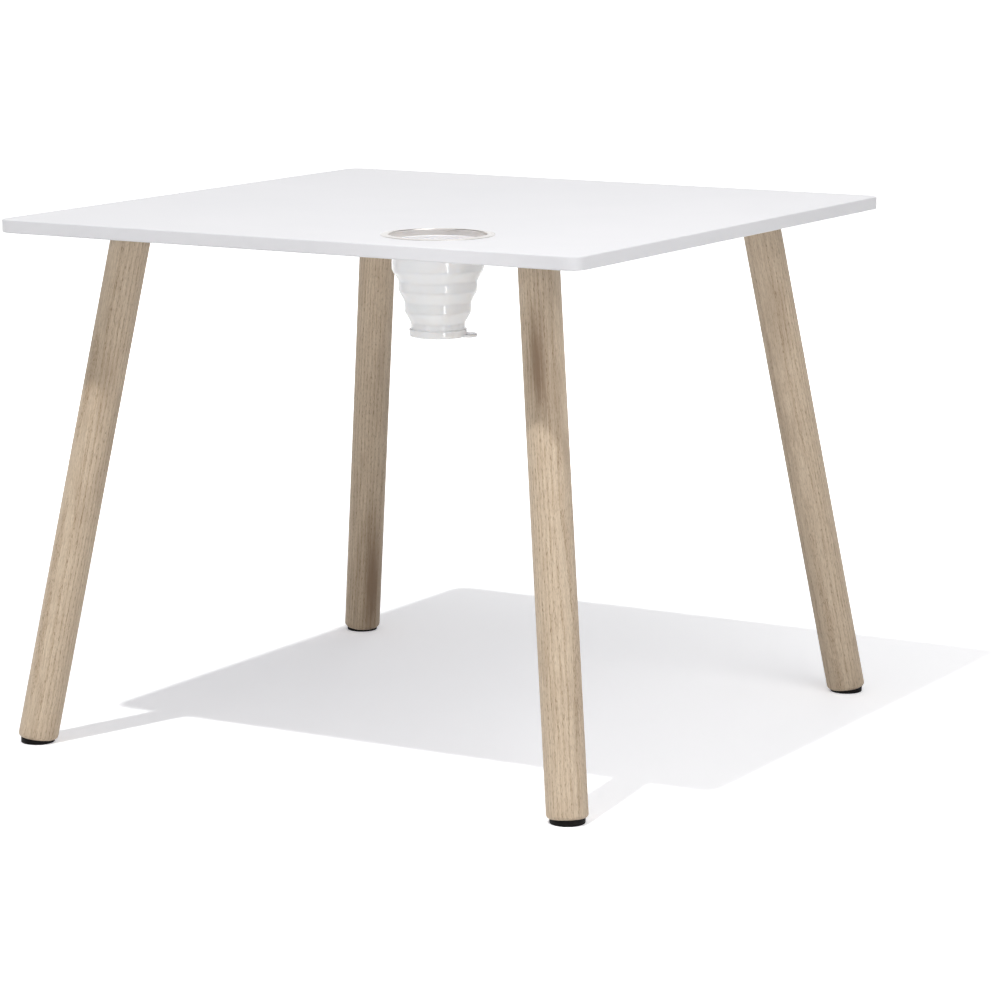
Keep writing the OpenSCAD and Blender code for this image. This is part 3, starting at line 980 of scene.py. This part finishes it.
@dataclass
class LegAssembly:
    """One leg with the bracket, screws and bolt that hold it and the glide under it."""

    corner: Corner
    board: Board
    inset: float = 88 * MM
    splay: float = math.radians(8.3)
    foot_angle: float = math.radians(7.5)
    diameter: float = 36.5 * MM
    rim_radius: float = 3.6 * MM
    top_chamfer: float = 0.8 * MM
    shank_rows: int = 24
    glide_diameter: float = 31 * MM
    glide_thickness: float = 1.8 * MM
    bracket_thickness: float = 2.5 * MM
    boss_margin: float = 1.2 * MM
    boss_height: float = 0.3 * MM
    screw_count: int = 4
    screw_circle: float = 30 * MM
    first_screw: float = math.pi / 4
    head_recess: float = 1.2 * MM
    board_screw: Screw = field(default_factory=lambda: Screw(3.9 * MM, 7.8 * MM, 12 * MM, 4.4 * MM, 1.9 * MM))
    glide_screw: Screw = field(default_factory=lambda: Screw(3.5 * MM, 7 * MM, 25 * MM, 4 * MM, 1.7 * MM))

    @property
    def tilt(self) -> float:
        """Angle between the leg and the vertical."""
        return math.atan(math.sqrt(2) * math.tan(self.splay))

    @property
    def turn(self) -> Euler:
        """Turn from a rod that hangs along -Z to the leg's own direction."""
        return Euler((0, -self.tilt, math.atan2(self.corner.value[1], self.corner.value[0])))

    @property
    def seat(self) -> Vector:
        """Where the leg's axis meets the board's underside."""
        across, along = self.corner.value
        right, back, _ = self.board.corner
        return Vector((across * (right - self.inset), along * (back - self.inset), self.board.under_z))

    @property
    def foot_height(self) -> float:
        """Height of the leg's lower end over the floor, at its axis."""
        return self.glide_thickness + self.glide_diameter / 2 * math.tan(self.foot_angle)

    @property
    def length(self) -> float:
        """Length from the board's underside to the lower end, along the axis."""
        return (self.board.under_z - self.foot_height) / math.cos(self.tilt)

    @property
    def seat_gap(self) -> float:
        """Length from the board's underside to the rod's top end, along the axis."""
        boss = self.diameter / 2 + self.boss_margin
        drop = self.bracket_thickness + self.boss_height + boss * math.tan(self.tilt)
        return drop / math.cos(self.tilt)

    def section(self) -> list[Point]:
        """Gives the rod's half section from its top end to its rounded lower rim.

        Returns:
            Radius and height of each point.
        """
        radius, rim, soft, rows = self.diameter / 2, self.rim_radius, self.top_chamfer, self.shank_rows
        top, bottom = -self.seat_gap, -self.length
        shank = [(radius, top - soft + (bottom + rim - top + soft) * i / rows) for i in range(1, rows)]
        return [
            (0, top),
            *arc((radius - soft, top - soft), soft, 90, 0, steps=3),
            *shank,
            *arc((radius - rim, bottom + rim), rim, 0, -90, steps=8),
            (0, bottom),
        ]

    def build(self) -> None:
        """Builds the leg and its screws, and dresses the pieces that stay."""
        values = {
            "Steps": LEG_STEPS,
            "Length": self.length,
            "Slant": math.tan(self.tilt - self.foot_angle),
            "Figure": TIMBER_STEP * list(Corner).index(self.corner),
            "Place": self.seat,
            "Turn": self.turn,
            "Material": OAK.material(),
        }
        rod = made_piece(self.corner.node("oak_rod"), self.section(), leg_tree(), values)
        stand_in(rod, self.corner.node("leg"))
        self.build_screws()
        for stem, finish in (("leg_bracket", ZINC), ("hanger_bolt", ZINC), ("glide", PLASTIC)):
            dress(self.corner.node(stem), finish)

    def build_screws(self) -> None:
        """Builds the bracket's screws and the one that holds the glide."""
        heads = self.seat - Vector((0, 0, self.bracket_thickness))
        name = self.corner.node("cross_head_screws")
        ring = (self.screw_count, self.screw_circle, self.first_screw)
        screws = self.board_screw.build(name, ring, heads, Euler((0, 0, self.turn.z)))
        stand_in(screws, self.corner.node("bracket_screws"))
        down = self.turn.to_matrix() @ Vector((0, 0, -1))
        raised = self.head_recess - self.foot_height / math.cos(self.tilt)
        head = self.seat + down * (self.length - raised)
        name = self.corner.node("cross_head_screw_in_glide")
        screw = self.glide_screw.build(name, (1, 0.0, 0.0), head, self.turn)
        stand_in(screw, self.corner.node("glide_screw"))


@dataclass
class FoldingCup:
    """The silicone cup, which folds by its webs, and the steel rim that it hangs by."""

    mouth_radius: float = 43 * MM
    rim_sheet: float = 0.8 * MM
    rim_edge: float = 0.5 * MM
    throat_depth: float = 9 * MM
    fit: float = 0.05 * MM
    collar_inner: float = 1.5 * MM
    lip_roundness: float = 0.9
    shoulder_start: float = 12 * MM
    shoulder_end: float = 14.5 * MM
    band_wall: float = 2.2 * MM
    web_wall: float = 1.2 * MM
    low_band: float = 5 * MM
    ledge_radius: float = 0.6 * MM
    foot_radius: float = 2.4 * MM
    foot_ledge: float = 1.5 * MM
    floor: float = 2.5 * MM
    floor_recess: float = 0.8 * MM
    tab_width: float = 24 * MM
    tab_reach: float = 34.1 * MM
    tab_thickness: float = 2.5 * MM
    tab_corner: float = 8 * MM
    tab_edge: float = 0.7 * MM
    tab_turn: float = math.radians(30)
    softness: float = 0.9 * MM
    steps: int = 128
    collar_rows: int = 40
    band_rows: int = 16
    web_rows: int = 24
    low_band_rows: int = 8

    def __post_init__(self) -> None:
        """Reads the cup's axis and the heights of its bands from the frame."""
        low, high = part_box("cup_rim")
        board_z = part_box("table_top")[1].z
        self.rim_radius = (high.x - low.x) / 2
        self.crown = high.z - board_z
        self.top = Vector(((low.x + high.x) / 2, (low.y + high.y) / 2, board_z))
        self.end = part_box("cup_base")[0].z - board_z
        self.webs = [self.extent(f"cup_web_{name}") for name in ("upper", "middle", "lower")]
        outer = [(high.x - low.x) / 2 for low, high in map(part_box, ("cup_web_upper", "cup_web_middle"))]
        self.step = outer[0] - outer[1]
        self.band_radius = [outer[0] - i * self.step for i in range(4)]
        self.collar_lip, self.collar_end = self.extent("cup_collar")
        low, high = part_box("cup_collar")
        self.collar_radius = (high.x - low.x) / 2

    def extent(self, node: str) -> Range:
        """Gives a node's highest and lowest point, from the board's top face."""
        low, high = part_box(node)
        return high.z - self.top.z, low.z - self.top.z

    def raw_wall(self, z: float) -> tuple[float, float]:
        """Gives the cup's outer radius and its wall at a height, with sharp steps.

        Args:
            z: Height from the board's top face.

        Returns:
            Outer radius and thickness.
        """
        radius = self.band_radius[0]
        if z > -self.shoulder_end:
            slope = min(1.0, max(0.0, (-z - self.shoulder_start) / (self.shoulder_end - self.shoulder_start)))
            outer = self.collar_radius + (radius - self.collar_radius) * slope
            inner = self.mouth_radius - self.fit - self.collar_inner
            inner += (radius - self.band_wall - inner) * slope
            return outer, outer - inner
        for i, (start, stop) in enumerate(self.webs):
            if z > start:
                return radius, self.band_wall
            if z > stop:
                share = (start - z) / (start - stop)
                eased = share * share * (3 - 2 * share)
                return radius - self.step * (share + eased) / 2, self.web_wall
            radius = self.band_radius[i + 1]
        return radius, self.band_wall

    def wall(self, z: float) -> tuple[float, float]:
        """Gives the cup's outer and inner radius at a height, softened as moulded rubber is."""
        taps = [self.raw_wall(z + self.softness * i / SOFT_TAPS) for i in range(-SOFT_TAPS, SOFT_TAPS + 1)]
        return sum(r for r, _ in taps) / len(taps), sum(r - t for r, t in taps) / len(taps)

    def wall_section(self, start: float, stop: float, rows: int) -> tuple[list[Point], list[Point]]:
        """Gives the two sides of the wall between two heights.

        Args:
            start: Upper height.
            stop: Lower height.
            rows: Stretches between them.

        Returns:
            The outer side from the top down, and the inner side from the bottom up.
        """
        heights = [start + (stop - start) * i / rows for i in range(rows + 1)]
        outer, inner = ([(self.wall(z)[side], z) for z in heights] for side in (0, 1))
        return outer, inner[::-1]

    def ring(self, name: str, section: Sequence[Point], finish: Finish) -> Piece:
        """Turns a half section, with heights from the board's top face, round the cup's axis."""
        values = {"Steps": self.steps, "Place": self.top, "Turn": (0, 0, 0), "Material": finish.material()}
        return made_piece(name, section, ring_tree(), values)

    def build(self) -> None:
        """Builds the rim and the cup from the top down."""
        self.build_rim()
        self.build_collar()
        bodies = ("cup", "cup_tier_upper", "cup_tier_lower", "cup_foot")
        for i, name in enumerate(("upper", "middle", "lower")):
            self.build_web(name, self.webs[i], bodies[i : i + 2])
        self.build_band("upper", self.webs[0][1], self.webs[1][0])
        self.build_band("lower", self.webs[1][1], self.webs[2][0])
        self.build_base()

    def build_rim(self) -> None:
        """Builds the spun rim: a straight throat, a round lip and a crowned flange."""
        name = "polished_spun_stainless_steel"
        steel = SpunSteel(name, "#E6E2DF", 0.15, metallic=1.0, axis=tuple(self.top))
        lip, edge, mouth = self.crown, self.rim_edge / 2, self.mouth_radius
        width = self.rim_radius - edge - mouth - lip
        drop = self.crown - self.rim_edge
        crown_radius = (width * width + drop * drop) / (2 * drop)
        fall = math.degrees(math.asin(width / crown_radius))
        throat = mouth + self.rim_sheet
        section = [
            (throat, 0),
            (throat, -self.throat_depth),
            (mouth, -self.throat_depth),
            *arc((mouth + lip, 0), lip, 180, 90, steps=12),
            *arc((mouth + lip, self.crown - crown_radius), crown_radius, 90, 90 - fall, steps=8)[1:],
            *arc((self.rim_radius - edge, edge), edge, 90, -90, steps=8)[1:],
            (throat, 0),
        ]
        stand_in(self.ring("spun_steel_rim", section, steel), "cup_rim")

    def build_collar(self) -> None:
        """Builds the collar that grips the steel throat, with the upper band below it."""
        slot_in = self.mouth_radius - self.fit
        slot_out = self.mouth_radius + self.rim_sheet + self.fit
        slot_end = -self.throat_depth - self.fit
        start = -self.shoulder_start + self.softness
        outer, inner = self.wall_section(start, self.collar_end, self.collar_rows)
        lip, inside, outside = self.collar_lip, inner[-1][0], self.collar_radius
        round_in = (slot_in - inside) / 2 * self.lip_roundness
        round_out = (outside - slot_out) / 2 * self.lip_roundness
        section = [
            (slot_out, slot_end),
            *arc((slot_out + round_out, lip - round_out), round_out, 180, 90, steps=4),
            *arc((outside - round_out, lip - round_out), round_out, 90, 0, steps=4),
            *outer,
            *inner,
            *arc((inside + round_in, lip - round_in), round_in, 180, 90, steps=6),
            *arc((slot_in - round_in, lip - round_in), round_in, 90, 0, steps=6),
            (slot_in, slot_end),
            (slot_out, slot_end),
        ]
        stand_in(self.ring("silicone_collar", section, SILICONE), "cup_collar")

    def build_band(self, name: str, start: float, stop: float) -> None:
        """Builds one of the two bands between webs.

        Args:
            name: Which band it is.
            start: Its upper height.
            stop: Its lower height.
        """
        outer, inner = self.wall_section(start, stop, self.band_rows)
        band = self.ring(f"silicone_band_{name}", [*outer, *inner, outer[0]], SILICONE)
        stand_in(band, f"cup_band_{name}")

    def build_web(self, name: str, heights: Range, bodies: tuple[str, str]) -> None:
        """Builds a folding web between the bodies above and below it, baked in place on neither body.

        Args:
            name: Which web it is.
            heights: Its upper and its lower height.
            bodies: The bodies above and below it, named in the log.
        """
        outer, inner = self.wall_section(*heights, self.web_rows)
        web = self.ring(f"silicone_web_{name}", [*outer, *inner, outer[0]], SILICONE)
        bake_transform(web)
        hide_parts(f"cup_web_{name}")
        LOG.info("%s bends between %s and %s", web.name, *bodies)

    def build_base(self) -> None:
        """Builds the lowest band with the cup's floor, its foot and the pull tab."""
        start = self.webs[2][1]
        foot_top = start - self.low_band
        band = self.band_radius[3]
        foot = band + self.foot_ledge
        inner = band - self.band_wall
        outer_side, inner_side = self.wall_section(start, foot_top + self.softness, self.low_band_rows)
        ledge, rim = self.ledge_radius, self.foot_radius
        floor_top = self.end + self.floor
        section = [
            *outer_side,
            *arc((band + ledge, foot_top + ledge), ledge, 180, 270, steps=5),
            *arc((foot - ledge, foot_top - ledge), ledge, 90, 0, steps=5),
            *arc((foot - rim, self.end + rim), rim, 0, -90, steps=8),
            (inner, self.end),
            (inner - ledge, self.end + self.floor_recess),
            (0, self.end + self.floor_recess),
            (0, floor_top),
            *arc((inner - ledge, floor_top + ledge), ledge, -90, 0, steps=4),
            *inner_side,
            outer_side[0],
        ]
        base = self.ring("silicone_foot", section, SILICONE)
        tab = self.tab(inner)
        union = base.modifiers.new("tab", "BOOLEAN")
        union.operation = "UNION"
        union.solver = "EXACT"
        union.object = tab
        bpy.context.view_layer.update()
        keep_evaluated(base)
        bpy.data.objects.remove(tab)
        stand_in(base, "cup_base")

    def tab(self, start: float) -> Piece:
        """Builds the pull tab: a tongue with round outer corners and soft edges.

        Args:
            start: Distance of its inner end from the cup's axis.

        Returns:
            The tab, still apart from the foot.
        """
        soft = self.tab_edge
        rows = arc((soft, soft), soft, 270, 180, steps=4)
        rows += arc((soft, self.tab_thickness - soft), soft, 180, 90, steps=4)
        shape = bmesh.new()
        rings = []
        for inset, height in rows:
            half, reach, corner = (s - inset for s in (self.tab_width / 2, self.tab_reach, self.tab_corner))
            outline = [(start, -half)]
            outline += arc((reach - corner, corner - half), corner, -90, 0, steps=8)
            outline += arc((reach - corner, half - corner), corner, 0, 90, steps=8)
            outline += [(start, half)]
            rings.append([shape.verts.new((x, y, self.end + height)) for x, y in outline])
        count = len(rings[0])
        for low, high in zip(rings, rings[1:]):
            for i in range(count):
                shape.faces.new((low[i], low[(i + 1) % count], high[(i + 1) % count], high[i]))
        shape.faces.new(list(reversed(rings[0])))
        shape.faces.new(rings[-1])
        bmesh.ops.recalc_face_normals(shape, faces=shape.faces)
        shape.transform(Matrix.Translation(self.top) @ Matrix.Rotation(self.tab_turn, 4, "Z"))
        return finished("pull_tab", shape, SILICONE)


# Studio


@dataclass(frozen=True)
class Lamp:
    """A round soft lamp, or a rectangular one if it has a height. Its lengths are in millimetres."""

    name: str
    place: Triple
    power: float
    width: float
    height: float = 0.0
    glossy: bool = True
    diffuse: bool = True
    target: Triple = (0, 0, 300)

    def light(self) -> bpy.types.Light:
        """Makes the lamp's light.

        Returns:
            The light, still without its power.
        """
        light = bpy.data.lights.new(self.name, "AREA")
        light.shape = "RECTANGLE" if self.height else "DISK"
        light.size = self.width * MM
        light.size_y = (self.height or self.width) * MM
        return light

    def hang(self) -> None:
        """Hangs the lamp, out of the camera's sight, and aims it."""
        light = self.light()
        light.energy = self.power
        hung = in_scene(self.name, light)
        hung.location = Vector(self.place) * MM
        aim = Vector(self.target) * MM - hung.location
        hung.rotation_euler = aim.to_track_quat("-Z", "Y").to_euler()
        hung.visible_camera = False
        hung.visible_glossy = self.glossy
        hung.visible_diffuse = self.diffuse


@dataclass(frozen=True)
class NarrowLamp(Lamp):
    """A lamp with a narrow beam whose edge is soft all the way in."""

    beam: float = math.radians(4)

    def light(self) -> bpy.types.Light:
        """Makes the lamp's light.

        Returns:
            The light, still without its power.
        """
        light = bpy.data.lights.new(self.name, "SPOT")
        light.spot_size = self.beam
        light.spot_blend = 1.0
        light.shadow_soft_size = self.width / 2 * MM
        return light


# Each lamp's place, power in watts and width. The high one stands for a sky of small lamps, so polished
# metal doesn't mirror it
LAMPS = (
    Lamp("high_front_lamp", (-246, -2401, 6400), 226, 160, glossy=False),
    Lamp("soft_lamp_on_the_right", (1300, -600, 1500), 10.6, 1400),
    Lamp("wide_lamp_in_front", (-200, -4000, 500), 16, 2400, glossy=False),
    Lamp("soft_lamp_at_the_back", (-900, 3300, 1500), 12, 1800, glossy=False),
    Lamp("strip_lamp_on_the_right", (1324, -1092, 275), 2.6, 110, height=450, diffuse=False),
    NarrowLamp("narrow_lamp_on_the_cup", (1850, -2060, 620), 44, 80, glossy=False, target=(111, -250, 425)),
)


@dataclass
class Studio:
    """White floor and world, the lamps, and the camera of the photograph."""

    camera_place: Triple = (1731.0 * MM, -2889.0 * MM, 823.7 * MM)
    camera_azimuth: float = 0.5267
    camera_elevation: float = 0.18074
    camera_reach: float = 100.0
    focal_pixels: float = 3630.9
    photo_width: int = 1000
    sensor: float = 36.0
    sky_strength: float = 0.3
    panel_heading: Triple = (0.864, 0.503, 0.0)
    panel_ends: Range = (0.42, 0.58)
    panel_rise: Range = (0.15, 0.35)
    panel_strength: float = 0.12
    floor_size: float = 60.0

    def build(self) -> None:
        """Builds the floor, the lamps and the camera."""
        self.build_world()
        self.build_floor()
        for lamp in LAMPS:
            lamp.hang()
        self.build_camera()
        bpy.context.scene.view_settings.view_transform = "Standard"

    def build_world(self) -> None:
        """Makes the world light the table evenly, show white, and mirror as white with grey sides."""
        world = bpy.data.worlds.new("white_studio")
        world.use_nodes = True
        tree = world.node_tree
        tree.nodes.clear()
        path = add_node(tree, "ShaderNodeLightPath").outputs
        rays = {0: path["Is Camera Ray"], 1: path["Is Transmission Ray"]}
        seen = add_node(tree, "ShaderNodeMath", rays, operation="MAXIMUM")
        inputs = {"Value": seen} | span("To", (self.sky_strength, 1.0))
        plain = add_node(tree, "ShaderNodeMapRange", inputs)
        heading = add_node(tree, "ShaderNodeTexCoord").outputs["Generated"]
        inputs = {0: heading, 1: self.panel_heading}
        sides = add_node(tree, "ShaderNodeVectorMath", inputs, operation="DOT_PRODUCT")
        reach = add_node(tree, "ShaderNodeMath", {0: sides}, operation="ABSOLUTE")
        inputs = {"Value": reach} | span("From", self.panel_ends)
        panels = add_node(tree, "ShaderNodeMapRange", inputs, **SMOOTH)
        rise = add_node(tree, "ShaderNodeSeparateXYZ", {"Vector": heading}).outputs["Z"]
        raised = add_node(tree, "ShaderNodeMapRange", {"Value": rise} | span("From", self.panel_rise))
        dark = add_node(tree, "ShaderNodeMath", {0: panels, 1: raised}, operation="MULTIPLY")
        inputs = {"Value": dark} | span("To", (1.0, self.panel_strength))
        mirrored = add_node(tree, "ShaderNodeMapRange", inputs)
        inputs = {"Value": path["Is Glossy Ray"]} | span("To", (plain, mirrored))
        strength = add_node(tree, "ShaderNodeMapRange", inputs)
        inputs = {"Color": linear("#FFFFFF"), "Strength": strength}
        sky = add_node(tree, "ShaderNodeBackground", inputs)
        add_node(tree, "ShaderNodeOutputWorld", {"Surface": sky})
        bpy.context.scene.world = world

    def build_floor(self) -> None:
        """Lays a wide floor of matt white paper."""
        shape = bmesh.new()
        bmesh.ops.create_grid(shape, x_segments=1, y_segments=1, size=self.floor_size / 2)
        finished("studio_floor", shape, PaperFloor("matt_white_paper", "#E5E5E5", 0.9))

    def build_camera(self) -> None:
        """Sets the camera where the photograph was taken from."""
        data = bpy.data.cameras.new("photograph")
        data.sensor_width = self.sensor
        data.lens = self.focal_pixels / self.photo_width * self.sensor
        data.clip_end = self.camera_reach
        across, along = math.sin(self.camera_azimuth), math.cos(self.camera_azimuth)
        level = math.cos(self.camera_elevation)
        back = Vector((across * level, -along * level, math.sin(self.camera_elevation)))
        right = Vector((along, across, 0))
        axes = Matrix((right, back.cross(right), back)).transposed().to_4x4()
        camera = in_scene("photograph", data)
        camera.matrix_world = Matrix.Translation(self.camera_place) @ axes
        bpy.context.scene.camera = camera


def main() -> None:
    """Builds the table from the board down, then the studio round it."""
    logging.basicConfig(level=logging.INFO, format="%(name)s: %(message)s")
    board = Board()
    board.build()
    for corner in Corner:
        LegAssembly(corner, board).build()
    FoldingCup().build()
    Studio().build()


if __name__ == "__main__":
    main()
